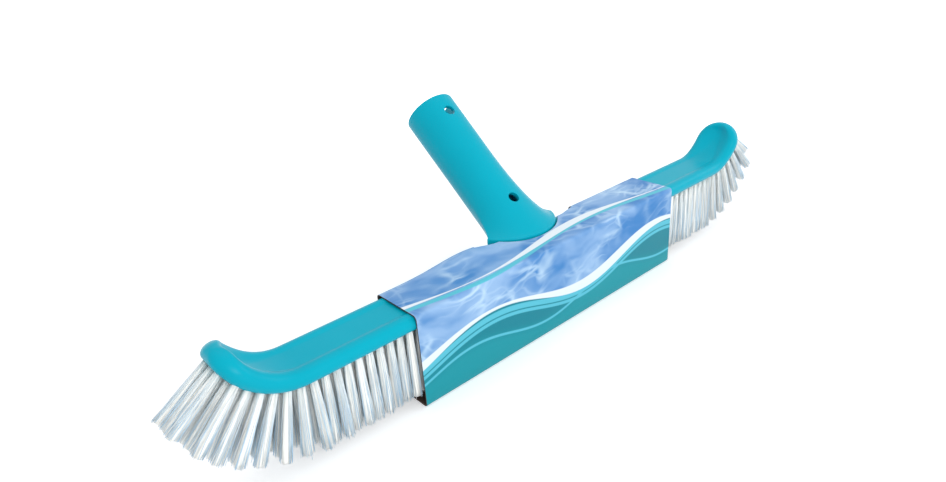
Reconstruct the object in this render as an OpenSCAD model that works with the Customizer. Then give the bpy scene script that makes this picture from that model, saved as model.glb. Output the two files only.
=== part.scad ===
// Pool wall brush, 18 inch, with upturned ends, a pole socket and a printed card sleeve.
// Millimetres, +Z up. X runs along the brush and the pole leans away toward +Y.
// The origin is the centre of the underside of the sleeve, on the surface it stands on.

/* [Back] */
// Overall length of the back, tip to tip
body_len = 457; // [400:1:560]
// Width of the back
back_w = 35.6; // [33:0.1:44]
// Thickness of the back
back_t = 9.8; // [8.4:0.1:12]
// Radius of each upturned end, at mid thickness
bend_r = 40; // [36:0.5:50]
// Angle that each end turns up by
bend_angle = 74; // [66:1:78]

/* [Bristles] */
// Distance between tufts along the straight part of a row
tuft_pitch = 6.65; // [6.4:0.05:9]
// Distance between tufts round the upturned ends
end_pitch = 7.2; // [6.7:0.05:9]
// Lean of the end tufts, as a share of the angle that the back has turned up by
fan_gain = 0.85; // [0.75:0.05:1.1]
// Distance between rows
row_pitch = 6.5; // [6.3:0.05:7]
// Free length of the tufts on the straight part
tuft_len = 44; // [36:1:53]
// Free length of the last tuft round each end
end_tuft_len = 33; // [28:1:44]
// Diameter that a tuft opens out to at its tip
tuft_tip_d = 6.1; // [4.4:0.1:6.2]
// Diameter of the tuft holes
hole_d = 4; // [3.4:0.1:4.2]
// Depth of the tuft holes
hole_depth = 6.5; // [5:0.1:7]
// Radial clearance of a tuft in its hole
tuft_fit = 0.05; // [0.02:0.01:0.1]
// Closest that a tuft hole centre comes to the rim
rim_margin = 3.4; // [3:0.1:6]

/* [Anchors] */
// Width of the flat anchor wire pieces
anchor_w = 3; // [2:0.1:3.1]
// Thickness of the anchor wire
anchor_t = 0.5; // [0.3:0.1:0.8]
// Height of the anchor wire
anchor_h = 1.5; // [1:0.1:2]

/* [Handle] */
// Lean of the pole socket from upright
tilt = 50; // [42:1:58]
// Distance behind the middle of the back at which the socket axis crosses its top
axis_y = 31; // [29:0.5:36]
// Length of the socket from the top of the back to the mouth, along the axis
socket_len = 105; // [100:1:130]
// Outer diameter at the mouth
mouth_d = 38.2; // [37:0.1:42]
// Outer diameter where the axis crosses the top of the back
base_d = 36.2; // [35.5:0.1:40]
// Bore for the pole
bore_d = 32.5; // [31.8:0.1:33.2]
// Distance that the bore runs below the top of the back, along the axis
bore_below = 3; // [2:0.5:5]
// Thickness of the closed end of the socket
floor_t = 3; // [2:0.5:5]
// Diameter of the clip holes
clip_d = 7.4; // [6:0.1:9]
// Distance from the mouth to the upper clip hole
clip_from_mouth = 15; // [12:0.5:20]
// Distance between the two clip holes
clip_spacing = 80; // [70:0.5:82]
// Radius of the round front of the foot
foot_r = 34; // [30:0.5:38]
// Place of the front edge of the foot on the back
foot_front_y = 0.6; // [-2:0.1:4]

/* [Sleeve] */
// Length of the card sleeve
sleeve_len = 242; // [180:1:300]
// Outer height of the card sleeve
sleeve_h = 62.2; // [60:0.1:80]
// Thickness of the card
card_t = 0.8; // [0.5:0.1:1]
// Clearance between the card and the sides of the back
side_gap = 0.35; // [0.3:0.05:0.8]
// Clearance between the card and the top of the back
top_gap = 0.3; // [0.3:0.05:1]
// Outer radius of the folds
fold_r = 3; // [2:0.1:4]
// Length of the window round the handle
window_len = 94; // [88:1:130]
// Depth that the window runs down the back panel
window_drop = 16; // [14:0.5:24]
// Place of the straight front edge of the window
window_y = 12.5; // [10:0.5:13]
// Clearance round the foot in the window
window_gap = 2.6; // [2.4:0.1:4]
// Width of the glued flap
flap_w = 14; // [8:0.5:20]

/* [Hidden] */
$fn = 64;
ROWS = 5;
eps = 0.01;

// Back: heights, and where its straight part ends
top_z = sleeve_h - card_t - top_gap;
mid_z = top_z - back_t / 2;
edge_r = back_t / 2;
disc_r = back_w / 2;
under_r = bend_r + back_t / 2;
straight_x = round(100 * (body_len / 2 - under_r * sin(bend_angle))) / 100;

// Round tip: where its centre lies on the bend, and the cutter that rounds it in plan
tip_turn = bend_angle - disc_r / bend_r * 180 / PI;
tip_shift = 1;
tip_cut_r = disc_r + 0.8;

// Tufts: the rows follow the underside, so a place is a length along it from the middle
tip_s = straight_x + under_r * tip_turn * PI / 180;
straight_count = floor(straight_x / tuft_pitch + 0.5);
straight_run = straight_count * tuft_pitch;
tuft_count = straight_count + floor((tip_s + disc_r - straight_run) / end_pitch + 0.5);
root_r = hole_d / 2 - tuft_fit;

// Handle: radii along the socket axis, from its closed end to the mouth
slope = (mouth_d - base_d) / 2 / socket_len;
end_s = -bore_below - floor_t;
upper_clip_s = socket_len - clip_from_mouth;
lower_clip_s = upper_clip_s - clip_spacing;

// Foot: the fan below the socket, and how it narrows up the socket
foot_slab = 3.2;
foot_back_y = disc_r + 4;
neck_s = 8;
neck_wide = 1.3;
collar_s = 26;
fillet_t = 0.6;
clip_relief = 1.5;

// Sleeve: inner and outer half widths
in_y = disc_r + side_gap;
out_y = in_y + card_t;
window_low_z = top_z - window_drop;

function tuft_place(i) = i < straight_count ? (i + 0.5) * tuft_pitch
    : straight_run + (i - straight_count + 0.5) * end_pitch;
// Angle that the underside has turned by at a place
function turn(s) = max(0, (s - straight_x) / under_r * 180 / PI);
function root_x(s) = min(s, straight_x) + under_r * sin(turn(s));
function root_z(s) = top_z - back_t + under_r * (1 - cos(turn(s)));
// Distance past the centre of the round tip, at mid thickness
function past_tip(s) = max(0, s - tip_s) * bend_r / under_r;
function fits_tip(s, y) = norm([past_tip(s), y]) < disc_r - rim_margin || past_tip(s) == 0;
function free_len(s) = tuft_len - (tuft_len - end_tuft_len) * turn(s) / bend_angle;
function row_y(row) = (row - (ROWS + 1) / 2) * row_pitch;

// Rounded section of the back, centred, with its full round sides
module back_section() {
    square([back_w - back_t, back_t], center = true);
    for (side = [-1, 1]) translate([side * (disc_r - edge_r), 0]) circle(r = edge_r);
}

module straight_back() {
    translate([-straight_x, 0, mid_z]) rotate([90, 0, 90])
        linear_extrude(2 * straight_x) back_section();
}

// The upturned end on the +X side, rounded in plan at its tip
module upturned_end() {
    translate([straight_x, 0, mid_z + bend_r]) difference() {
        rotate([90, 0, 0]) rotate([0, 0, -90]) rotate_extrude(angle = bend_angle)
            translate([bend_r, 0]) rotate(90) back_section();
        rotate([0, -tip_turn, 0]) translate([0, 0, -bend_r]) tip_waste();
    }
}

// What is cut away round the tip, with +X running on along the back
module tip_waste() {
    difference() {
        translate([0, -back_w, -back_w]) cube(2 * back_w);
        translate([-tip_shift, 0, 0]) cylinder(r = tip_cut_r, h = 5 * back_w, center = true);
    }
}

module back_blank() {
    straight_back();
    upturned_end();
    mirror([1, 0, 0]) upturned_end();
}

// Puts its children at a tuft root, with +Z pointing out along the tuft
module at_tuft(s, y) {
    translate([root_x(s), y, root_z(s)]) rotate([0, 180 - fan_gain * turn(s), 0]) children();
}

// Tufts of one row from first to last on one side
module each_tuft(row, first, last) {
    for (i = [first:last])
        if (fits_tip(tuft_place(i), row_y(row))) at_tuft(tuft_place(i), row_y(row)) children();
}

module whole_row(row) {
    for (side = [0, 1]) mirror([side, 0, 0]) each_tuft(row, 0, tuft_count - 1) children();
}

module brush_back() {
    color("darkturquoise") difference() {
        back_blank();
        for (row = [1:ROWS]) whole_row(row) translate([0, 0, -hole_depth])
            cylinder(r = hole_d / 2, h = hole_depth + 1);
    }
}

// One tuft: the folded root in its hole, then the bundle opening out to its tip
module tuft(len) {
    rotate_extrude($fn = 24) polygon([[0, anchor_h - hole_depth], [root_r, anchor_h - hole_depth],
        [root_r, 0], [tuft_tip_d / 2, len], [0, len]]);
}

module tuft_run(row, first, last) {
    for (i = [first:last]) if (fits_tip(tuft_place(i), row_y(row)))
        at_tuft(tuft_place(i), row_y(row)) tuft(free_len(tuft_place(i)));
}

module tufts_middle(row) {
    color("ghostwhite") for (side = [0, 1]) mirror([side, 0, 0]) tuft_run(row, 0, straight_count - 1);
}

module tufts_right_end(row) {
    color("ghostwhite") tuft_run(row, straight_count, tuft_count - 1);
}

module tufts_left_end(row) {
    mirror([1, 0, 0]) tufts_right_end(row);
}

// The flat wire pieces that hold the tufts, at the closed ends of the holes
module anchors(row) {
    color("silver") whole_row(row) translate([-anchor_w / 2, -anchor_t / 2, -hole_depth])
        cube([anchor_w, anchor_t, anchor_h]);
}

// Puts its children on the socket axis at a distance above the top of the back
module on_axis(s) {
    translate([0, axis_y, top_z]) rotate([-tilt, 0, 0]) translate([0, 0, s]) children();
}

function socket_r(s) = base_d / 2 + slope * s;

module socket_blank() {
    on_axis(end_s) cylinder(r1 = socket_r(end_s), r2 = mouth_d / 2, h = socket_len - end_s);
}

module clip_holes(extra) {
    for (s = [lower_clip_s, upper_clip_s]) on_axis(s) rotate([90, 0, 0])
        cylinder(r = clip_d / 2 + extra, h = 3 * mouth_d, center = true);
}

module handle_tube() {
    color("darkturquoise") difference() {
        socket_blank();
        on_axis(-bore_below) cylinder(r = bore_d / 2, h = socket_len + bore_below + 1);
        clip_holes(0);
    }
}

// Outline of the fan where it meets the back, seen from above
module foot_outline(gap) {
    intersection() {
        translate([0, foot_front_y + foot_r]) circle(r = foot_r + gap);
        translate([-2 * foot_r, -back_w]) square([4 * foot_r, back_w + foot_back_y + gap]);
    }
}

// The widened ring that both halves of the fan share
module neck() {
    on_axis(neck_s) scale([neck_wide, 1, 1]) cylinder(r = socket_r(neck_s) + fillet_t, h = 1, $fn = 48);
}

module foot_blank() {
    hull() {
        translate([0, 0, mid_z]) linear_extrude(edge_r + foot_slab) foot_outline(0);
        neck();
    }
    hull() {
        neck();
        on_axis(collar_s) cylinder(r = socket_r(collar_s) + fillet_t, h = 1, $fn = 48);
    }
}

module handle_foot() {
    color("darkturquoise") difference() {
        foot_blank();
        socket_blank();
        straight_back();
        clip_holes(clip_relief);
    }
}

// Section of the folds of one side of the sleeve with the panel between them
module side_section() {
    difference() {
        translate([out_y - fold_r, 0]) square([fold_r, sleeve_h]);
        translate([out_y - fold_r - eps, -eps]) square([fold_r - card_t + eps, fold_r + eps]);
        translate([out_y - fold_r - eps, sleeve_h - fold_r]) square([fold_r - card_t + eps, fold_r + eps]);
        translate([out_y - fold_r - eps, fold_r - eps])
            square([fold_r - card_t + eps, sleeve_h - 2 * fold_r + 2 * eps]);
        translate([out_y - card_t - eps, -eps]) square([card_t + 2 * eps, fold_r + eps]);
        translate([out_y - card_t - eps, sleeve_h - fold_r]) square([card_t + 2 * eps, fold_r + eps]);
    }
    fold_section(fold_r, -1);
    fold_section(sleeve_h - fold_r, 1);
}

// One quarter round fold, with its centre at the height given
module fold_section(z, up) {
    translate([out_y - fold_r, z]) intersection() {
        difference() {
            circle(r = fold_r);
            circle(r = fold_r - card_t);
        }
        translate([0, up > 0 ? 0 : -fold_r]) square([fold_r, fold_r]);
    }
}

// Runs a section in Y and Z along the sleeve
module along_sleeve() {
    translate([-sleeve_len / 2, 0, 0]) rotate([90, 0, 90]) linear_extrude(sleeve_len) children();
}

// What the window takes out of the top fold and the back panel
module back_window() {
    translate([-window_len / 2, window_y, window_low_z]) cube([window_len, back_w, back_w]);
}

module sleeve_back_panel() {
    color("lightsteelblue") difference() {
        along_sleeve() side_section();
        back_window();
    }
}

module sleeve_front_panel() {
    color("teal") mirror([0, 1, 0]) along_sleeve() side_section();
}

module flat_panel(z) {
    translate([-sleeve_len / 2, fold_r - out_y, z]) cube([sleeve_len, 2 * (out_y - fold_r), card_t]);
}

module sleeve_top_panel() {
    color("lightsteelblue") difference() {
        flat_panel(sleeve_h - card_t);
        back_window();
        translate([0, 0, top_z]) linear_extrude(sleeve_h) foot_outline(window_gap);
    }
}

module sleeve_bottom_panel() {
    color("teal") flat_panel(0);
}

// The end of the folded card, glued down inside the bottom panel
module sleeve_glue_flap() {
    color("saddlebrown") translate([-sleeve_len / 2, out_y - fold_r - flap_w, card_t])
        cube([sleeve_len, flap_w, card_t]);
}

brush_back();
handle_tube();
handle_foot();
tufts_left_end(1);  // tufts_row_1_left_end
tufts_middle(1);  // tufts_row_1_middle
tufts_right_end(1);  // tufts_row_1_right_end
tufts_left_end(2);  // tufts_row_2_left_end
tufts_middle(2);  // tufts_row_2_middle
tufts_right_end(2);  // tufts_row_2_right_end
tufts_left_end(3);  // tufts_row_3_left_end
tufts_middle(3);  // tufts_row_3_middle
tufts_right_end(3);  // tufts_row_3_right_end
tufts_left_end(4);  // tufts_row_4_left_end
tufts_middle(4);  // tufts_row_4_middle
tufts_right_end(4);  // tufts_row_4_right_end
tufts_left_end(5);  // tufts_row_5_left_end
tufts_middle(5);  // tufts_row_5_middle
tufts_right_end(5);  // tufts_row_5_right_end
anchors(1);  // anchors_row_1
anchors(2);  // anchors_row_2
anchors(3);  // anchors_row_3
anchors(4);  // anchors_row_4
anchors(5);  // anchors_row_5
sleeve_front_panel();
sleeve_top_panel();
sleeve_back_panel();
sleeve_bottom_panel();
sleeve_glue_flap();
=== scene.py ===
import math
import random

import bmesh
import bpy
from bpy.props import FloatProperty, FloatVectorProperty, IntProperty, PointerProperty
from mathutils import Matrix, Vector


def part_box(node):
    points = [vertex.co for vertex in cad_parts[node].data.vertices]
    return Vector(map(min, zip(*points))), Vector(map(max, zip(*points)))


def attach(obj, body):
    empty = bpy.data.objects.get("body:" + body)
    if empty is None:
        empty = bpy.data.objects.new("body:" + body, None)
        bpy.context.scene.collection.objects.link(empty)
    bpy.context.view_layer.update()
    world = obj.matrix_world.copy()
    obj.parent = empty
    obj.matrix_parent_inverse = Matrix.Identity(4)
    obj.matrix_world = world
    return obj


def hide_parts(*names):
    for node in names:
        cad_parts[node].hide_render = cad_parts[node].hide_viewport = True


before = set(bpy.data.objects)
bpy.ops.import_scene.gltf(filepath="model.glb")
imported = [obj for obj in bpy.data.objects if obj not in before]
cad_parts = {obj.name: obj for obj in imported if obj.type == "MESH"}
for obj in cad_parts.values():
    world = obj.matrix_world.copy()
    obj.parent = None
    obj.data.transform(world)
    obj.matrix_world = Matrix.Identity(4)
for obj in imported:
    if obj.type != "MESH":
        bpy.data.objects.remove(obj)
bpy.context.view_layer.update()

bl_info = {
    "name": "Pool Wall Brush",
    "version": (1, 0, 0),
    "blender": (4, 5, 0),
    "location": "View3D > Sidebar > Wall Brush",
    "description": "Builds a pool wall brush with upturned ends, bristle tufts, a pole socket and a card sleeve",
    "category": "Add Mesh",
}

ROWS = 5
SLEEVE_LOW, SLEEVE_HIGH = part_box("sleeve_top_panel")
SLEEVE_BACK_LOW, SLEEVE_BACK_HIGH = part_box("sleeve_back_panel")
BACK_LOW, BACK_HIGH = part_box("brush_back")
SLEEVE_NODES = ["sleeve_front_panel", "sleeve_top_panel", "sleeve_back_panel", "sleeve_bottom_panel"]


# ---------------------------------------------------------------- settings


def length(name, description, default, low=0.0, high=1.0):
    return FloatProperty(name=name, description=description, default=default, min=low, max=high,
                         unit="LENGTH", precision=5)


def colour(name, description, default):
    return FloatVectorProperty(name=name, description=description, default=default, size=3,
                               subtype="COLOR", min=0.0, max=1.0)


def screen(red, green, blue):
    """The linear colour of a display colour given from 0 to 255."""
    def straight(value):
        value /= 255
        return value / 12.92 if value <= 0.04045 else ((value + 0.055) / 1.055) ** 2.4
    return straight(red), straight(green), straight(blue)


class BrushSizes(bpy.types.PropertyGroup):
    back_width: length("Back width", "Width of the back", BACK_HIGH.y - BACK_LOW.y)
    back_length: length("Back length", "Length of the back, tip to tip", BACK_HIGH.x - BACK_LOW.x)
    back_thick: length("Back thickness", "Thickness of the back", 0.0098)
    card: length("Card", "Thickness of the sleeve's card", SLEEVE_HIGH.z - SLEEVE_LOW.z)
    card_gap: length("Card gap", "Gap between the card and the top of the back", 0.0003)
    bend_radius: length("Bend radius", "Radius of the upturned ends at mid thickness", 0.04)
    bend_angle: FloatProperty(name="Bend angle", description="Angle that the ends turn up by",
                              default=math.radians(74), subtype="ANGLE")
    tip_rise: length("Tip rise", "How much thicker the rim is round each upturned end", 0.0013)
    dish: length("Dish", "Depth of the shallow dish along the top of the back", 0.0008)
    scoop: length("Scoop", "Depth of the scoop in each upturned end", 0.0034)
    tuft_pitch: length("Tuft pitch", "Distance between tufts along the straight part of a row", 0.00665)
    end_pitch: length("End pitch", "Distance between tufts round the upturned ends", 0.0072)
    row_pitch: length("Row pitch", "Distance between rows of tufts", 0.0065)
    tuft_length: length("Tuft length", "Free length of the tufts", 0.044)
    end_tuft_length: length("End tuft length", "Free length of the last tufts round each end", 0.033)
    fan_gain: FloatProperty(name="Fan gain", description="Lean of the end tufts, as a share of the bend",
                            default=0.85)
    rim_margin: length("Rim margin", "Closest that a tuft comes to the rim", 0.0034)
    tuft_root: length("Tuft root", "Radius of a tuft at its root", 0.0019)
    tuft_tip: length("Tuft tip", "Radius of a tuft at its tip", 0.0035)
    filament: length("Filament", "Radius of one bristle filament", 0.00023)
    filaments: IntProperty(name="Filaments", description="Filaments in a tuft", default=40, min=8, max=80)
    tuft_kinds: IntProperty(name="Tuft kinds", description="Different tufts that the rows repeat",
                            default=9, min=1, max=20)
    tilt: FloatProperty(name="Tilt", description="Lean of the socket from upright",
                        default=math.radians(50), subtype="ANGLE")
    axis_y: length("Axis place", "Where the socket axis crosses the top of the back", 0.031)
    socket_length: length("Socket length", "Socket length from the back to the mouth", 0.105)
    mouth_radius: length("Mouth radius", "Outer radius of the socket at its mouth", 0.0191)
    base_radius: length("Base radius", "Outer radius of the socket at the back", 0.0181)
    bore_radius: length("Bore radius", "Radius of the bore for the pole", 0.01625)
    bore_below: length("Bore below", "How far the bore runs below the top of the back", 0.003)
    floor: length("Floor", "Thickness of the closed end of the socket", 0.003)
    clip_radius: length("Clip hole", "Radius of the clip holes", 0.0039)
    upper_clip: length("Upper clip hole", "Place of the upper clip hole on the axis", 0.09)
    lower_clip: length("Lower clip hole", "Place of the lower clip hole on the axis", 0.01)
    foot_radius: length("Foot radius", "Radius of the round front of the foot", 0.034)
    lip: length("Foot lip", "Height of the lip round the foot above the back", 0.0032)
    lip_round: length("Lip rounding", "Rounding of the edge of the lip", 0.0011)
    foot_front: length("Foot front", "Place of the front of the foot on the back", 0.0006)
    fold: length("Fold", "Outer radius of the sleeve's folds", 0.0026)
    window: length("Window", "Length of the sleeve's window", 0.094)
    window_drop: length("Window drop", "How far the window runs down the back panel", 0.016)
    window_front: length("Window front", "Place of the window's straight front edge", 0.0128)
    window_gap: length("Window gap", "Gap between the card and the foot", 0.0026)


class BrushColours(bpy.types.PropertyGroup):
    plastic: colour("Plastic", "Moulded back and handle", screen(0, 166, 188))
    bristle: colour("Bristle", "Bristle filaments", screen(253, 252, 247))
    # Painted shade: this pale blue, laid on the outer filaments of each tuft, stands in for the shade between
    # tufts
    bristle_painted_shade: colour("Bristle tip", "Pale blue of the finer filaments", screen(186, 220, 243))
    water_pale: colour("Pale water", "Light water of the print", screen(146, 182, 222))
    water_deep: colour("Deep water", "Deep water of the print", screen(52, 124, 190))
    glint: colour("Glint", "Light net on the water", screen(204, 230, 246))
    foam: colour("Foam", "White band of the wave", screen(226, 234, 240))
    shallow: colour("Shallow", "Pale band of the wave", screen(84, 186, 206))
    teal: colour("Teal", "Lower part of the print", screen(4, 144, 156))
    deep_teal: colour("Deep teal", "Darkest band of the print", screen(0, 126, 142))
    bare_card: colour("Bare card", "Inside and cut edges of the card", screen(74, 58, 50))
    anchor: colour("Anchor", "Flat wire that holds the tufts", screen(176, 172, 160))


def sizes():
    return bpy.context.scene.brush_sizes


def colours():
    return bpy.context.scene.brush_colours


def top_z():
    """Height of the flat top of the back."""
    return SLEEVE_HIGH.z - sizes().card - sizes().card_gap


# ---------------------------------------------------------------- modelling


def deselect():
    if bpy.context.object and bpy.context.object.mode != "OBJECT":
        bpy.ops.object.mode_set(mode="OBJECT")
    bpy.ops.object.select_all(action="DESELECT")


def only(piece):
    deselect()
    piece.select_set(True)
    bpy.context.view_layer.objects.active = piece
    return piece


def loft(name, rings, caps=True):
    """A tube through rings of points: a circle extruded once for each ring, then put in place."""
    deselect()
    bpy.ops.mesh.primitive_circle_add(vertices=len(rings[0]), radius=1)
    piece = bpy.context.object
    piece.name = piece.data.name = name
    bpy.ops.object.mode_set(mode="EDIT")
    for _ in rings[1:]:
        bpy.ops.mesh.extrude_region_move()
    bpy.ops.object.mode_set(mode="OBJECT")
    points = [value for ring in rings for point in ring for value in point]
    piece.data.vertices.foreach_set("co", points)
    if caps:
        for first in (0, len(piece.data.vertices) - len(rings[0])):
            cap(piece, range(first, first + len(rings[0])))
    outward(piece)
    return piece


def cap(piece, corners):
    """Closes one end ring with a fan of faces round a middle point."""
    shape = bmesh.new()
    shape.from_mesh(piece.data)
    shape.verts.ensure_lookup_table()
    ring = [shape.verts[i] for i in corners]
    middle = shape.verts.new(sum((v.co for v in ring), Vector()) / len(ring))
    for here, there in zip(ring, ring[1:] + ring[:1]):
        shape.faces.new((here, there, middle))
    shape.to_mesh(piece.data)
    shape.free()


def outward(piece):
    only(piece)
    bpy.ops.object.mode_set(mode="EDIT")
    bpy.ops.mesh.select_all(action="SELECT")
    bpy.ops.mesh.normals_make_consistent(inside=False)
    bpy.ops.mesh.select_all(action="DESELECT")
    bpy.ops.object.mode_set(mode="OBJECT")


def apply_modifiers(piece):
    only(piece)
    for modifier in list(piece.modifiers):
        bpy.ops.object.modifier_apply(modifier=modifier.name)


def subdivide(piece, levels=1):
    modifier = piece.modifiers.new("Smooth", "SUBSURF")
    modifier.levels = modifier.render_levels = levels
    apply_modifiers(piece)


def cut(piece, *cutters):
    """Takes the cutters out of the piece."""
    for cutter in cutters:
        modifier = piece.modifiers.new("Cut", "BOOLEAN")
        modifier.operation = "DIFFERENCE"
        modifier.solver = "EXACT"
        modifier.material_mode = "TRANSFER"
        modifier.object = cutter
        apply_modifiers(piece)
        bpy.data.objects.remove(cutter)


def smooth(piece, angle=math.radians(40)):
    only(piece)
    bpy.ops.object.shade_smooth_by_angle(angle=angle)


def finish_piece(piece, body, slot, material=None, *nodes):
    if material:
        piece.data.materials.clear()
        piece.data.materials.append(material)
    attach(piece, body)
    if nodes:
        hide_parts(*nodes)


# ---------------------------------------------------------------- materials


class Graph:
    """A small helper that adds and links shader nodes."""

    def __init__(self, name):
        self.material = bpy.data.materials.new(name)
        self.material.use_nodes = True
        self.tree = self.material.node_tree
        self.shader = self.tree.nodes["Principled BSDF"]

    def add(self, kind, inputs=(), **settings):
        node = self.tree.nodes.new(kind)
        for key, value in settings.items():
            setattr(node, key, value)
        for key, value in dict(inputs).items():
            self.put(node.inputs[key], value)
        return node

    def put(self, socket, value):
        if isinstance(value, bpy.types.NodeSocket):
            self.tree.links.new(value, socket)
        else:
            socket.default_value = value

    def math(self, operation, *values, clamp=False):
        node = self.add("ShaderNodeMath", operation=operation, use_clamp=clamp)
        for socket, value in zip(node.inputs, values):
            self.put(socket, value)
        return node.outputs[0]

    def step(self, value, low, high):
        node = self.add("ShaderNodeMapRange", {"Value": value, "From Min": low, "From Max": high},
                        interpolation_type="SMOOTHSTEP")
        return node.outputs["Result"]

    def mix(self, factor, first, second):
        node = self.add("ShaderNodeMix", data_type="RGBA")
        self.put(node.inputs["Factor"], factor)
        self.put(node.inputs["A"], first if isinstance(first, bpy.types.NodeSocket) else (*first, 1))
        self.put(node.inputs["B"], second if isinstance(second, bpy.types.NodeSocket) else (*second, 1))
        return node.outputs["Result"]

    def noise(self, vector, scale, detail=3.0, roughness=0.5):
        inputs = {"Vector": vector, "Scale": scale, "Detail": detail, "Roughness": roughness}
        return self.add("ShaderNodeTexNoise", inputs).outputs["Fac"]

    def bump(self, height, distance, strength=1.0, normal=None):
        inputs = {"Height": height, "Distance": distance, "Strength": strength}
        if normal:
            inputs["Normal"] = normal
        return self.add("ShaderNodeBump", inputs).outputs["Normal"]

    def object_place(self):
        return self.add("ShaderNodeTexCoord").outputs["Object"]


def plastic_material():
    """Glossy injection moulded plastic with a faint orange peel and flow marks."""
    graph = Graph("teal_plastic")
    place = graph.object_place()
    flow = graph.noise(place, 35.0, 4.0)
    base = Vector(colours().plastic)
    tone = graph.mix(flow, base * 0.95, base * 1.05)
    graph.put(graph.shader.inputs["Base Color"], tone)
    rough = graph.add("ShaderNodeMapRange", {"Value": graph.noise(place, 260.0, 2.0),
                                             "To Min": 0.28, "To Max": 0.36})
    graph.put(graph.shader.inputs["Roughness"], rough.outputs["Result"])
    peel = graph.bump(graph.noise(place, 900.0, 2.0), 0.00004, 0.6)
    graph.put(graph.shader.inputs["Normal"], peel)
    graph.shader.inputs["Specular IOR Level"].default_value = 0.1
    return graph.material


def bristle_material():
    """White nylon, ivory in the middle of a tuft, with painted pale blue shade on its outer filaments towards
    their tips, standing in for the shade between tufts.
    """
    graph = Graph("bristle_nylon")
    spread = graph.add("ShaderNodeSeparateXYZ",
                       {"Vector": graph.add("ShaderNodeUVMap", uv_map="filament").outputs["UV"]})
    outer, along = spread.outputs["X"], spread.outputs["Y"]
    # Painted shade: outer filaments turn pale blue towards their tips, in place of the shade between tufts
    blue = graph.math("MULTIPLY", graph.step(outer, 0.72, 1.08), graph.step(along, -0.35, 0.85), clamp=True)
    tone = graph.mix(blue, colours().bristle, colours().bristle_painted_shade)
    graph.put(graph.shader.inputs["Base Color"], tone)
    graph.shader.inputs["Roughness"].default_value = 0.4
    graph.shader.inputs["Specular IOR Level"].default_value = 0.35
    graph.shader.inputs["Subsurface Weight"].default_value = 0.0
    graph.shader.inputs["Subsurface Radius"].default_value = (1.0, 1.0, 1.0)
    graph.shader.inputs["Subsurface Scale"].default_value = 0.004
    return graph.material


def band(graph, v, centre, half, soft=0.0004):
    """One inside a band of the print, and nothing outside it."""
    away = graph.math("ABSOLUTE", graph.math("SUBTRACT", v, centre))
    edge = graph.math("SUBTRACT", away, half)
    return graph.math("SUBTRACT", 1.0, graph.step(edge, -soft, soft))


def wave(graph, u, middle, height, span, phase):
    turns = graph.math("MULTIPLY_ADD", u, 2 * math.pi / span, phase)
    return graph.math("MULTIPLY_ADD", graph.math("SINE", turns), height, middle)


def print_material():
    """Coated card printed with rippled water over rolling waves. V runs down the front from its top fold."""
    graph = Graph("sleeve_print")
    paint = colours()
    flat = graph.add("ShaderNodeUVMap", uv_map="print").outputs["UV"]
    parts = graph.add("ShaderNodeSeparateXYZ", {"Vector": flat})
    u, v = parts.outputs["X"], parts.outputs["Y"]

    # Water: broad patches of light and deep blue, with a fine net of light over them
    drift = graph.add("ShaderNodeTexNoise", {"Vector": flat, "Scale": 22.0, "Detail": 3.0})
    bent = graph.add("ShaderNodeVectorMath", {0: drift.outputs["Color"], 1: (0.045, 0.03, 0.0)},
                     operation="MULTIPLY").outputs["Vector"]
    moved = graph.add("ShaderNodeVectorMath", {0: flat, 1: bent}, operation="ADD").outputs["Vector"]
    squash = graph.add("ShaderNodeMapping", {"Vector": moved, "Scale": (0.55, 1.25, 1.0),
                                             "Rotation": (0.0, 0.0, 0.35)}).outputs["Vector"]
    patches = graph.step(graph.noise(squash, 26.0, 3.0), 0.36, 0.66)
    water = graph.mix(patches, paint.water_deep, paint.water_pale)
    for scale, amount, width in ((52.0, 0.6, 0.11), (110.0, 0.3, 0.14)):
        net = graph.add("ShaderNodeTexVoronoi", {"Vector": squash, "Scale": scale},
                        feature="DISTANCE_TO_EDGE").outputs["Distance"]
        line = graph.math("SUBTRACT", 1.0, graph.step(net, 0.0, width))
        fade = graph.math("MULTIPLY", line, graph.step(graph.noise(flat, 30.0, 2.0), 0.4, 0.7))
        water = graph.mix(graph.math("MULTIPLY", fade, amount), water, paint.glint)

    # Waves: teal below a rolling crest, with foam and shallow bands that follow it
    crest = wave(graph, u, 0.031, 0.0085, 0.17, 0.9)
    swell = wave(graph, u, 0.040, 0.006, 0.13, 2.4)
    below = graph.step(graph.math("SUBTRACT", v, crest), -0.0004, 0.0004)
    deeper = graph.step(graph.math("SUBTRACT", v, swell), -0.0005, 0.012)
    sea = graph.mix(deeper, paint.deep_teal, paint.teal)
    sea = graph.mix(band(graph, v, graph.math("ADD", swell, 0.006), 0.0009), sea, paint.shallow)
    sea = graph.mix(band(graph, v, graph.math("ADD", crest, 0.0085), 0.0012), sea, paint.shallow)
    print_colour = graph.mix(below, water, sea)
    foam_half = wave(graph, u, 0.0026, 0.0016, 0.21, 0.2)
    print_colour = graph.mix(band(graph, v, graph.math("ADD", crest, 0.0045), 0.0019), print_colour,
                             paint.shallow)
    print_colour = graph.mix(band(graph, v, crest, foam_half), print_colour, paint.foam)

    # A second, smaller wave runs along the top panel
    ribbon = wave(graph, u, -0.009, 0.0055, 0.2, 3.6)
    print_colour = graph.mix(band(graph, v, graph.math("ADD", ribbon, 0.0035), 0.0018), print_colour,
                             paint.shallow)
    print_colour = graph.mix(band(graph, v, ribbon, wave(graph, u, 0.0018, 0.0014, 0.19, 1.0)),
                             print_colour, paint.foam)
    graph.put(graph.shader.inputs["Base Color"], print_colour)
    graph.put(graph.shader.inputs["Normal"], graph.bump(graph.noise(flat, 240.0, 4.0), 0.00006, 0.5))
    graph.shader.inputs["Roughness"].default_value = 0.4
    graph.shader.inputs["Specular IOR Level"].default_value = 0.25
    return graph.material


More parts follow.
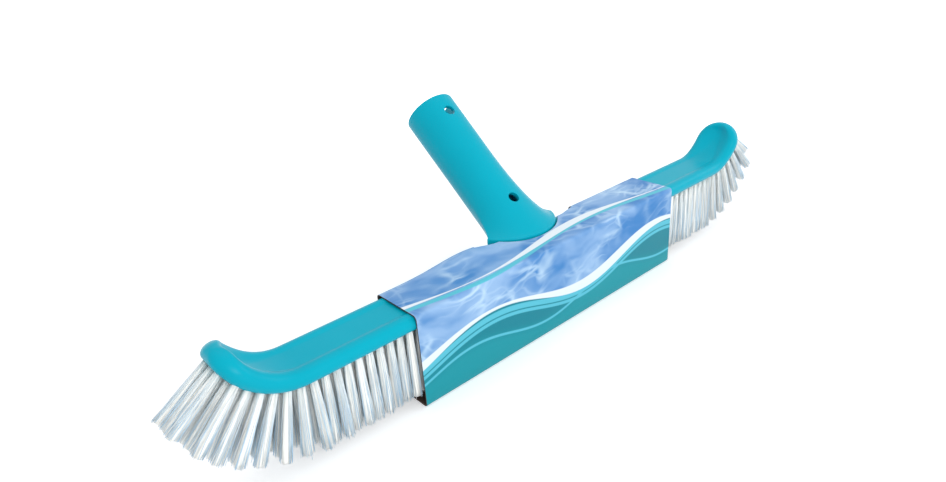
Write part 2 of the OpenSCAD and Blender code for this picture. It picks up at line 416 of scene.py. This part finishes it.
def card_material():
    """Bare brown card with paper fibre."""
    graph = Graph("plain_board")
    place = graph.object_place()
    base = Vector(colours().bare_card)
    fibre = graph.noise(place, 700.0, 5.0, 0.7)
    graph.put(graph.shader.inputs["Base Color"], graph.mix(fibre, base * 0.7, base * 1.3))
    graph.put(graph.shader.inputs["Normal"], graph.bump(fibre, 0.00008, 0.6))
    graph.shader.inputs["Roughness"].default_value = 0.85
    return graph.material


def anchor_material():
    """Flat drawn wire."""
    graph = Graph("flat_wire")
    base = Vector(colours().anchor)
    drawn = graph.noise(graph.object_place(), 1500.0, 2.0)
    graph.put(graph.shader.inputs["Base Color"], graph.mix(drawn, base * 0.85, base * 1.1))
    graph.shader.inputs["Metallic"].default_value = 1.0
    graph.shader.inputs["Roughness"].default_value = 0.35
    return graph.material


def shared(name, maker):
    return bpy.data.materials.get(name) or maker()


# ---------------------------------------------------------------- back


def straight_half():
    """Half length of the straight part of the back."""
    size = sizes()
    return size.back_length / 2 - (size.bend_radius + size.back_thick / 2) * math.sin(size.bend_angle)


def ease(value, low, high):
    """Goes smoothly from 0 to 1 as a value goes from low to high."""
    part = min(1.0, max(0.0, (value - low) / (high - low)))
    return part * part * (3 - 2 * part)


def back_section(half_width, rim, dish, spoon):
    """Points round the back: dished top, full round sides and flat underside, as (across, up)."""
    flat = max(half_width - rim, 0.0)
    inner = 0.66 - 0.6 * spoon
    points = [(flat * (1 - k / 12), rim - dish * (1 - ease(abs(1 - k / 12), inner, 0.9 + 0.2 * spoon)))
              for k in range(25)]
    arc = [math.pi * k / 8 for k in range(1, 8)]
    points += [(-flat - rim * math.sin(a), rim * math.cos(a)) for a in arc]
    points += [(flat * (k / 4 - 1), -rim) for k in range(9)]
    points += [(flat + rim * math.sin(a), -rim * math.cos(a)) for a in arc]
    return points


def back_rings():
    size = sizes()
    half, radius, half_thick = size.back_width / 2, size.bend_radius, size.back_thick / 2
    straight = straight_half()
    tip_turn = size.bend_angle - half / radius
    stations = [(straight * k / 5, 0.0) for k in range(5)]
    stations += [(straight, tip_turn * k / 14) for k in range(14)]
    stations += [(straight, tip_turn + half / radius * math.sin(math.pi / 2 * k / 12)) for k in range(13)]
    rings = []
    for along, turn in stations:
        left = half - max(0.0, turn - tip_turn) * radius
        width = math.sqrt(max(half ** 2 - (half - left) ** 2, (half * 0.02) ** 2))
        spoon = ease(turn, 0.15, 0.85)
        rise = size.tip_rise * spoon / 2
        rim = half_thick + rise
        rounding = max(rim - left, 0.0) / rim
        thick = min(rim * math.sqrt(max(1 - rounding ** 2, 0.0004)), width)
        dish = (size.dish + (size.scoop - size.dish) * spoon) * ease(left, 0.001, 0.009)
        ring = []
        for across, up in back_section(width, thick, dish, spoon):
            lift = radius - up - rise
            ring.append(Vector((along + lift * math.sin(turn), across,
                                top_z() - half_thick + radius - lift * math.cos(turn))))
        rings.append(ring)
    other = [[Vector((-p.x, p.y, p.z)) for p in ring] for ring in rings[:0:-1]]
    return other + rings


class BRUSH_OT_back(bpy.types.Operator):
    """Adds the dished back with its scooped, upturned ends"""
    bl_idname = "brush.back"
    bl_label = "Back"

    def execute(self, context):
        back = loft("back", back_rings())
        subdivide(back)
        smooth(back, math.radians(60))
        finish_piece(back, "brush", "back", shared("teal_plastic", plastic_material), "brush_back")
        return {"FINISHED"}


# ---------------------------------------------------------------- handle


def on_axis(along, out=0.0, angle=0.0):
    """A point round the socket axis. Angle 0 is +X and a quarter turn is the front."""
    size = sizes()
    lean = Vector((0, math.sin(size.tilt), math.cos(size.tilt)))
    front = Vector((0, -math.cos(size.tilt), math.sin(size.tilt)))
    base = Vector((0, size.axis_y, top_z()))
    return base + lean * along + out * (Vector((math.cos(angle), 0, 0)) + front * math.sin(angle))


def socket_radius(along):
    size = sizes()
    return size.base_radius + (size.mouth_radius - size.base_radius) * along / size.socket_length


def foot_point(angle, lip=False):
    """Where the foot meets the back, or closes below the socket behind it, and the lip above that."""
    size = sizes()
    heel = math.radians(23.6)
    side = size.foot_radius * math.cos(heel)
    side_y = size.foot_front + size.foot_radius * (1 - math.sin(heel))
    flank = abs(math.cos(angle))
    low, rise = -0.0012 - 0.0016 * flank ** 3, size.lip * (1 - 0.25 * flank ** 4)
    if math.sin(angle) >= 0:
        around = heel + angle / math.pi * (math.pi - 2 * heel)
        place = Vector((size.foot_radius * math.cos(around),
                        size.foot_front + size.foot_radius * (1 - math.sin(around)), top_z() + low))
    else:
        around = angle - math.pi
        end = on_axis(-size.bore_below - size.floor, socket_radius(0), -math.pi / 2)
        turn = math.sin(around)
        place = Vector((-side * math.cos(around) * (1 - 0.35 * turn), side_y + (end.y - side_y) * turn,
                        top_z() + low + (end.z - top_z() - low) * turn ** 1.5))
        rise *= 1 - 0.85 * turn
    if lip:
        place.z += rise - low * (1 if math.sin(angle) >= 0 else 1 - math.sin(around))
    return place


def lip_point(angle, inset, drop):
    """A point on the rounded lip of the foot, inset towards the socket and dropped from its top."""
    place = foot_point(angle, lip=True)
    middle = on_axis(0.004)
    inward = Vector((middle.x - place.x, middle.y - place.y, 0))
    return place + inward.normalized() * inset - Vector((0, 0, drop))


def flare_point(angle, t):
    """A smooth fan from the socket wall down to the lip of the foot."""
    top, lean = 0.048, on_axis(1) - on_axis(0)
    start = on_axis(top, socket_radius(top), angle)
    end = lip_point(angle, sizes().lip_round, 0)
    pull = start - lean * 0.03
    wall = on_axis(0.008, socket_radius(0.008), angle)
    push = end + (wall - end) * 0.5
    a, b, c, d = (1 - t) ** 3, 3 * t * (1 - t) ** 2, 3 * t * t * (1 - t), t ** 3
    return start * a + pull * b + push * c + end * d


def handle_rings(count=96):
    size = sizes()
    turns = [2 * math.pi * k / count for k in range(count)]
    rings = [[foot_point(a) for a in turns]]
    for k in range(4):
        bend, curve = math.pi / 2 * k / 4, size.lip_round
        rings.append([lip_point(a, curve * (1 - math.cos(bend)), curve * (1 - math.sin(bend)))
                      for a in turns])
    rings += [[flare_point(a, 1 - k / 18) for a in turns] for k in range(18)]
    lip, top = 0.0009, 0.048
    wall = [top + (size.socket_length - lip - top) * k / 10 for k in range(11)]
    rings += [[on_axis(s, socket_radius(s), a) for a in turns] for s in wall]
    for k in range(1, 5):
        bend = math.pi / 2 * k / 4
        rings.append([on_axis(size.socket_length - lip * (1 - math.sin(bend)),
                              size.mouth_radius - lip * (1 - math.cos(bend)), a) for a in turns])
    rings.append([on_axis(size.socket_length, size.bore_radius + 0.0004, a) for a in turns])
    for s in (size.socket_length - 0.0004, 0.07, 0.04, 0.01, -size.bore_below):
        rings.append([on_axis(s, size.bore_radius, a) for a in turns])
    return rings


def clip_cutter(along):
    """A cylinder that drills one clip hole through both walls."""
    deselect()
    size = sizes()
    bpy.ops.mesh.primitive_cylinder_add(vertices=48, radius=size.clip_radius, depth=0.08)
    cutter = bpy.context.object
    front = on_axis(0, 1, math.pi / 2) - on_axis(0)
    turn = front.to_track_quat("Z", "Y").to_matrix().to_4x4()
    cutter.data.transform(Matrix.Translation(on_axis(along)) @ turn)
    return cutter


class BRUSH_OT_handle(bpy.types.Operator):
    """Adds the pole socket and the foot that fans out onto the back"""
    bl_idname = "brush.handle"
    bl_label = "Handle"

    def execute(self, context):
        handle = loft("handle", handle_rings())
        cut(handle, clip_cutter(sizes().upper_clip), clip_cutter(sizes().lower_clip))
        rim = handle.modifiers.new("Rim", "BEVEL")
        rim.width = 0.00035
        rim.segments = 2
        rim.limit_method = "ANGLE"
        rim.angle_limit = math.radians(50)
        apply_modifiers(handle)
        smooth(handle, math.radians(45))
        finish_piece(handle, "brush", "back", shared("teal_plastic", plastic_material),
                     "handle_tube", "handle_foot")
        return {"FINISHED"}


# ---------------------------------------------------------------- tufts


def plain_filament():
    """One straight three sided filament of unit length, which every tuft bends copies of."""
    rings = [[Vector((math.cos(a), math.sin(a), k / 4)) for a in (0.0, 2.1, 4.2)] for k in range(5)]
    return loft("filament", rings)


def bend_filament(points, rng, size, length_left):
    """The points of one filament of a tuft, from a random place in its root to its own tip."""
    spread = 0.74 + 0.28 * rng.random()
    around = rng.uniform(0, 2 * math.pi)
    stray = rng.random() < 0.09
    tip = size.tuft_tip * spread * (1.35 if stray else 1.0)
    lean = around + rng.gauss(0, 0.25)
    reach = length_left * (1 + rng.gauss(0, 0.012) - (0.05 * rng.random() if stray else 0))
    bow = rng.gauss(0, 0.0006)
    thick = size.filament * rng.uniform(0.85, 1.15)
    placed = []
    for point in points:
        t = point.z
        out = size.tuft_root * spread * (1 - t) + tip * t ** 0.95
        turn = around + (lean - around) * t
        side = bow * math.sin(math.pi * t)
        taper = thick * (1.0 - 0.3 * t)
        placed.append(Vector((out * math.cos(turn) - side * math.sin(turn) + point.x * taper,
                              out * math.sin(turn) + side * math.cos(turn) + point.y * taper,
                              reach * t - 0.0012)))
    return placed, spread


def core_points(rng, size, length_left):
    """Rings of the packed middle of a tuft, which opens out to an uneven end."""
    lobes = [rng.uniform(0.82, 1.12) for _ in range(8)]
    rings = []
    for t, share in ((0.0, 0.97), (0.3, 0.93), (0.65, 0.88), (0.92, 0.8), (0.985, 0.62)):
        radius = (size.tuft_root * (1 - t) + size.tuft_tip * t ** 0.95) * share
        rings.append([Vector((radius * lobe * math.cos(k * math.pi / 4), radius * lobe * math.sin(k * math.pi / 4),
                              length_left * t * (0.99 + 0.02 * rng.random() * t) - 0.0012 * (1 - t)))
                      for k, lobe in enumerate(lobes)])
    return rings


def tuft_mesh(name, filament, rng, free_length):
    """A packed core inside bent filament copies. UVs say how far out and how far along each point is."""
    size = sizes()
    rings = core_points(rng, size, free_length)
    points = [point for ring in rings for point in ring]
    shapes = [(8 * r + k, 8 * r + (k + 1) % 8, 8 * r + 8 + (k + 1) % 8, 8 * r + 8 + k)
              for r in range(len(rings) - 1) for k in range(8)]
    shapes += [tuple(range(7, -1, -1)), tuple(range(8 * len(rings) - 8, 8 * len(rings)))]
    marks = [(0.15, r / (len(rings) - 1)) for r in range(len(rings)) for _ in range(8)]
    base = [v.co.copy() for v in filament.data.vertices]
    faces = [tuple(p.vertices) for p in filament.data.polygons]
    for _ in range(size.filaments):
        placed, spread = bend_filament(base, rng, size, free_length)
        first = len(points)
        points += placed
        shapes += [tuple(first + i for i in face) for face in faces]
        marks += [(spread, min(max(v.z, 0.0), 1.0)) for v in base]
    mesh = bpy.data.meshes.new(name)
    mesh.from_pydata(points, [], shapes)
    layer = mesh.uv_layers.new(name="filament")
    corners = [value for loop in mesh.loops for value in marks[loop.vertex_index]]
    layer.data.foreach_set("uv", corners)
    mesh.shade_smooth()
    return mesh


def tuft_places(row):
    """Root point, lean and free length of each tuft of a row on the +X side."""
    size = sizes()
    across = (row - (ROWS + 1) / 2) * size.row_pitch
    under = size.bend_radius + size.back_thick / 2
    straight = straight_half()
    tip = straight + under * (size.bend_angle - size.back_width / 2 / size.bend_radius)
    count = int(straight / size.tuft_pitch + 0.5)
    run = count * size.tuft_pitch
    places = [(k + 0.5) * size.tuft_pitch for k in range(count)]
    places += [run + (k + 0.5) * size.end_pitch
               for k in range(int((tip + size.back_width / 2 - run) / size.end_pitch + 0.5))]
    for s in places:
        past = max(0.0, s - tip) * size.bend_radius / under
        if past and math.hypot(past, across) >= size.back_width / 2 - size.rim_margin:
            continue
        turn = max(0.0, (s - straight) / under)
        root = Vector((min(s, straight) + under * math.sin(turn), across,
                       top_z() - size.back_thick + under * (1 - math.cos(turn))))
        shrink = (size.tuft_length - size.end_tuft_length) * turn / size.bend_angle
        yield root, turn * size.fan_gain, size.tuft_length - shrink, s > run


def join_tufts(name, placed):
    """Joins placed copies of tufts into one piece."""
    deselect()
    for mesh in placed:
        tuft = bpy.data.objects.new(name, mesh)
        bpy.context.collection.objects.link(tuft)
        tuft.select_set(True)
    bpy.context.view_layer.objects.active = bpy.context.selected_objects[0]
    bpy.ops.object.join()
    piece = bpy.context.object
    piece.name = piece.data.name = name
    return piece


class BRUSH_OT_tufts(bpy.types.Operator):
    """Adds the five rows of bristle tufts, with fans round both ends"""
    bl_idname = "brush.tufts"
    bl_label = "Bristle tufts"

    def execute(self, context):
        rng = random.Random(11)
        size = sizes()
        filament = plain_filament()
        kinds = [tuft_mesh(f"tuft_kind_{k}", filament, rng, size.tuft_length) for k in range(size.tuft_kinds)]
        for row in range(1, ROWS + 1):
            parts = {"left_end": [], "middle": [], "right_end": []}
            for side in (-1, 1):
                for root, lean, free, at_end in tuft_places(row):
                    tuft = rng.choice(kinds).copy()
                    stretch = Matrix.Diagonal((1, 1, free / size.tuft_length, 1))
                    spin = Matrix.Rotation(rng.uniform(0, 2 * math.pi), 4, "Z")
                    sway = Matrix.Rotation(rng.gauss(0, 0.018), 4, "X") @ Matrix.Rotation(
                        math.pi - lean + rng.gauss(0, 0.022), 4, "Y")
                    tuft.transform(Matrix.Translation(root) @ sway @ spin @ stretch)
                    if side < 0:
                        tuft.transform(Matrix.Scale(-1, 4, (1, 0, 0)))
                        tuft.flip_normals()
                    key = "middle" if not at_end else ("right_end" if side > 0 else "left_end")
                    parts[key].append(tuft)
            for key, meshes in parts.items():
                piece = join_tufts(f"bristles_row_{row}_{key}", meshes)
                finish_piece(piece, "brush", "bristle", shared("bristle_nylon", bristle_material),
                             f"tufts_row_{row}_{key}")
        bpy.data.objects.remove(filament)
        return {"FINISHED"}


class BRUSH_OT_anchors(bpy.types.Operator):
    """Finishes the flat wire anchors inside the back"""
    bl_idname = "brush.anchors"
    bl_label = "Anchors"

    def execute(self, context):
        for row in range(1, ROWS + 1):
            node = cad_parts[f"anchors_row_{row}"]
            node.data.materials.clear()
            node.data.materials.append(shared("flat_wire", anchor_material))
        return {"FINISHED"}


# ---------------------------------------------------------------- sleeve


def sleeve_section():
    """Points round the outside of the sleeve as (y, z, v), from the front top fold down and round."""
    size = sizes()
    out_y, high, fold = SLEEVE_BACK_HIGH.y, SLEEVE_HIGH.z, size.fold
    corners = [(-out_y, high, 90, 180), (-out_y, 0.0, 180, 270), (out_y, 0.0, 270, 360), (out_y, high, 0, 90)]
    points = []
    for y, z, start, end in corners:
        middle = (y - math.copysign(fold, y), z - fold if z > 0 else fold)
        for k in range(5):
            a = math.radians(start + (end - start) * k / 4)
            points.append((middle[0] + fold * math.cos(a), middle[1] + fold * math.sin(a)))
    dense = []
    for here, there in zip(points, points[1:] + points[:1]):
        steps = max(1, round(math.dist(here, there) / 0.005))
        dense += [(here[0] + (there[0] - here[0]) * k / steps, here[1] + (there[1] - here[1]) * k / steps)
                  for k in range(steps)]
    run = 0.0
    marked = []
    for k, point in enumerate(dense):
        if k:
            run += math.dist(point, dense[k - 1])
        marked.append((*point, run))
    return marked, run + math.dist(dense[-1], dense[0])


def bow(x, y, z):
    """Slight bow and ripple of the card, and the lift of its back fold where the foot pushes it up."""
    reach = SLEEVE_HIGH.x - SLEEVE_LOW.x
    high, wide = SLEEVE_HIGH.z, SLEEVE_BACK_HIGH.y
    lift = 0.0034 * math.exp(-((x + 0.058) / 0.026) ** 2)
    lift *= ease(y, -0.006, 0.016) * ease(z, high * 0.45, high)
    push = 0.0
    if abs(abs(y) - wide) < 0.0005:
        ripple = math.sin(31 * x + 1.3) * 0.00012 + math.sin(67 * x + 0.4) * 0.00006
        push = math.sin(math.pi * z / high) * (0.0004 * math.cos(math.pi * x / reach) + ripple)
    return Vector((0, math.copysign(push, y), lift))


class BRUSH_OT_sleeve(bpy.types.Operator):
    """Adds the folded card sleeve with its window round the handle"""
    bl_idname = "brush.sleeve"
    bl_label = "Card sleeve"

    def execute(self, context):
        section, around = sleeve_section()
        steps = 48
        start, reach = SLEEVE_LOW.x, SLEEVE_HIGH.x - SLEEVE_LOW.x
        rings = []
        for k in range(steps + 1):
            x = start + reach * k / steps
            rings.append([Vector((x, y, z)) + bow(x, y, z) for y, z, _ in section])
        sleeve = loft("card_sleeve", rings, caps=False)
        self.mark_print(sleeve, section, around)
        sleeve.data.materials.clear()
        sleeve.data.materials.append(shared("sleeve_print", print_material))
        sleeve.data.materials.append(shared("plain_board", card_material))
        wall = sleeve.modifiers.new("Card", "SOLIDIFY")
        wall.thickness = sizes().card
        wall.offset = -1
        wall.material_offset = 1
        wall.material_offset_rim = 1
        apply_modifiers(sleeve)
        cut(sleeve, self.window_cutter(), self.foot_cutter())
        smooth(sleeve, math.radians(35))
        finish_piece(sleeve, "sleeve", "printed_card", None, *SLEEVE_NODES)
        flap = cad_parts["sleeve_glue_flap"]
        flap.data.materials.clear()
        flap.data.materials.append(shared("plain_board", card_material))
        return {"FINISHED"}

    def mark_print(self, sleeve, section, around):
        """UVs in metres: along the sleeve, and down the front from its top fold."""
        top_run = around - (SLEEVE_HIGH.y - SLEEVE_LOW.y) - sizes().fold * math.pi
        layer = sleeve.data.uv_layers.new(name="print")
        count = len(section)
        for face in sleeve.data.polygons:
            slots = [sleeve.data.loops[i].vertex_index % count for i in face.loop_indices]
            wraps = max(slots) - min(slots) > count / 2
            for loop, slot in zip(face.loop_indices, slots):
                v = around if wraps and slot == 0 else section[slot][2]
                point = sleeve.data.vertices[sleeve.data.loops[loop].vertex_index].co
                layer.data[loop].uv = (point.x, v - around if v > top_run else v)

    def window_cutter(self):
        """The prism that opens the top and back panels behind the handle."""
        size = sizes()
        half, front, far = size.window / 2, size.window_front, 0.06
        outline = [(-half, far), (-half, front + 0.003), (-half * 0.7, front), (half * 0.7, front),
                   (half, front + 0.003), (half, far)]
        cutter = loft("window", [[Vector((x, y, top_z() + z)) for x, y in outline]
                                 for z in (-size.window_drop, 0.02)])
        cutter.data.materials.append(shared("plain_board", card_material))
        return cutter

    def foot_cutter(self):
        """The prism that cuts the top panel round the front of the foot."""
        deselect()
        size = sizes()
        bpy.ops.mesh.primitive_cylinder_add(vertices=96, radius=size.foot_radius + size.window_gap, depth=0.02)
        cutter = bpy.context.object
        bpy.ops.object.mode_set(mode="EDIT")
        bpy.ops.transform.translate(value=(0, size.foot_front + size.foot_radius + 0.0016, top_z() + 0.0095))
        bpy.ops.mesh.bisect(plane_co=(0, size.window_front + 0.006, 0), plane_no=(0, 1, 0),
                            use_fill=True, clear_outer=True)
        bpy.ops.object.mode_set(mode="OBJECT")
        cutter.data.materials.append(shared("plain_board", card_material))
        return cutter


# ---------------------------------------------------------------- stage


def stage_material():
    """White paper, which shows white behind the object and keeps its shadow."""
    graph = Graph("white_paper")
    path = graph.add("ShaderNodeLightPath")
    seen = graph.math("MAXIMUM", path.outputs["Is Camera Ray"],
                      graph.math("MAXIMUM", path.outputs["Is Glossy Ray"], path.outputs["Is Transmission Ray"]))
    away = graph.add("ShaderNodeVectorMath", {0: graph.object_place()}, operation="LENGTH").outputs["Value"]
    glow = graph.math("MULTIPLY_ADD", graph.step(away, 0.32, 0.75), 0.75, 0.3)
    graph.shader.inputs["Base Color"].default_value = (0.86, 0.87, 0.88, 1)
    graph.shader.inputs["Roughness"].default_value = 0.9
    graph.shader.inputs["Specular IOR Level"].default_value = 0.0
    graph.shader.inputs["Emission Color"].default_value = (1, 1, 1, 1)
    graph.put(graph.shader.inputs["Emission Strength"], graph.math("MULTIPLY", seen, glow))
    return graph.material


def lamp(name, place, target, size, power, shade=(1, 1, 1)):
    light = bpy.data.lights.new(name, "AREA")
    light.shape = "RECTANGLE"
    light.size, light.size_y = size
    light.energy = power
    light.color = shade
    holder = bpy.data.objects.new(name, light)
    bpy.context.collection.objects.link(holder)
    aim = (Vector(target) - Vector(place)).to_track_quat("-Z", "Y").to_matrix().to_4x4()
    holder.matrix_world = Matrix.Translation(place) @ aim


def camera():
    """A camera a little left of the front, looking down at the middle of the sleeve."""
    azimuth, elevation, roll = math.radians(-39.7), math.radians(25.6), math.radians(-4.5)
    target = Vector((-0.061, 0.0, top_z() + 0.0187))
    distance = 0.4026
    back = Vector((math.sin(azimuth) * math.cos(elevation), -math.cos(azimuth) * math.cos(elevation),
                   math.sin(elevation)))
    right = Vector((math.cos(azimuth), math.sin(azimuth), 0))
    up = back.cross(right)
    across = right * math.cos(roll) + up * math.sin(roll)
    over = up * math.cos(roll) - right * math.sin(roll)
    data = bpy.data.cameras.new("camera")
    data.sensor_width = 36
    data.lens = 25.42
    data.clip_start = 0.01
    holder = bpy.data.objects.new("camera", data)
    bpy.context.collection.objects.link(holder)
    frame_axes = Matrix((across, over, back)).transposed().to_4x4()
    holder.matrix_world = Matrix.Translation(target + back * distance) @ frame_axes
    bpy.context.scene.camera = holder


class BRUSH_OT_stage(bpy.types.Operator):
    """Adds the white floor, the soft lamps, the world and the camera"""
    bl_idname = "brush.stage"
    bl_label = "Stage"

    def execute(self, context):
        deselect()
        bpy.ops.mesh.primitive_plane_add(size=12)
        floor = context.object
        floor.name = "floor"
        floor.data.materials.append(stage_material())
        lamp("key", (-0.3, -1.2, 0.72), (-0.05, 0, 0.04), (0.7, 0.5), 7.5)
        lamp("fill", (1.3, -0.7, 0.8), (0, 0, 0.05), (0.8, 0.8), 4.0, (0.95, 0.98, 1.0))
        lamp("top", (0.1, 0.3, 1.5), (0, 0, 0.05), (1.2, 0.8), 2.5)
        world = bpy.data.worlds.new("studio")
        world.use_nodes = True
        tree = world.node_tree
        sky = tree.nodes["Background"]
        sky.inputs["Color"].default_value = (0.97, 0.985, 1.0, 1)
        path = tree.nodes.new("ShaderNodeLightPath")
        seen = tree.nodes.new("ShaderNodeMath")
        seen.operation = "MAXIMUM"
        clear = tree.nodes.new("ShaderNodeMath")
        clear.operation = "MAXIMUM"
        level = tree.nodes.new("ShaderNodeMapRange")
        level.inputs["To Min"].default_value = 0.78
        level.inputs["To Max"].default_value = 1.03
        tree.links.new(path.outputs["Is Glossy Ray"], seen.inputs[0])
        tree.links.new(path.outputs["Is Transmission Ray"], seen.inputs[1])
        tree.links.new(seen.outputs[0], clear.inputs[0])
        tree.links.new(path.outputs["Is Camera Ray"], clear.inputs[1])
        tree.links.new(clear.outputs[0], level.inputs["Value"])
        tree.links.new(level.outputs["Result"], sky.inputs["Strength"])
        context.scene.world = world
        context.scene.view_settings.view_transform = "Standard"
        camera()
        return {"FINISHED"}


class BRUSH_PT_panel(bpy.types.Panel):
    """Lists the operators that build the brush, and its sizes and colours"""
    bl_label = "Wall Brush"
    bl_idname = "BRUSH_PT_panel"
    bl_space_type = "VIEW_3D"
    bl_region_type = "UI"
    bl_category = "Wall Brush"

    def draw(self, context):
        layout = self.layout
        for step in STEPS:
            layout.operator(step.bl_idname)
        for group in (context.scene.brush_sizes, context.scene.brush_colours):
            for name in group.__annotations__:
                layout.prop(group, name)


STEPS = [BRUSH_OT_back, BRUSH_OT_handle, BRUSH_OT_tufts, BRUSH_OT_anchors, BRUSH_OT_sleeve, BRUSH_OT_stage]
CLASSES = [BrushSizes, BrushColours, *STEPS, BRUSH_PT_panel]


def register():
    for item in CLASSES:
        bpy.utils.register_class(item)
    bpy.types.Scene.brush_sizes = PointerProperty(type=BrushSizes)
    bpy.types.Scene.brush_colours = PointerProperty(type=BrushColours)


def unregister():
    del bpy.types.Scene.brush_colours
    del bpy.types.Scene.brush_sizes
    for item in reversed(CLASSES):
        bpy.utils.unregister_class(item)


def main():
    register()
    bpy.ops.brush.back()
    bpy.ops.brush.handle()
    bpy.ops.brush.tufts()
    bpy.ops.brush.anchors()
    bpy.ops.brush.sleeve()
    bpy.ops.brush.stage()


if __name__ == "__main__":
    main()
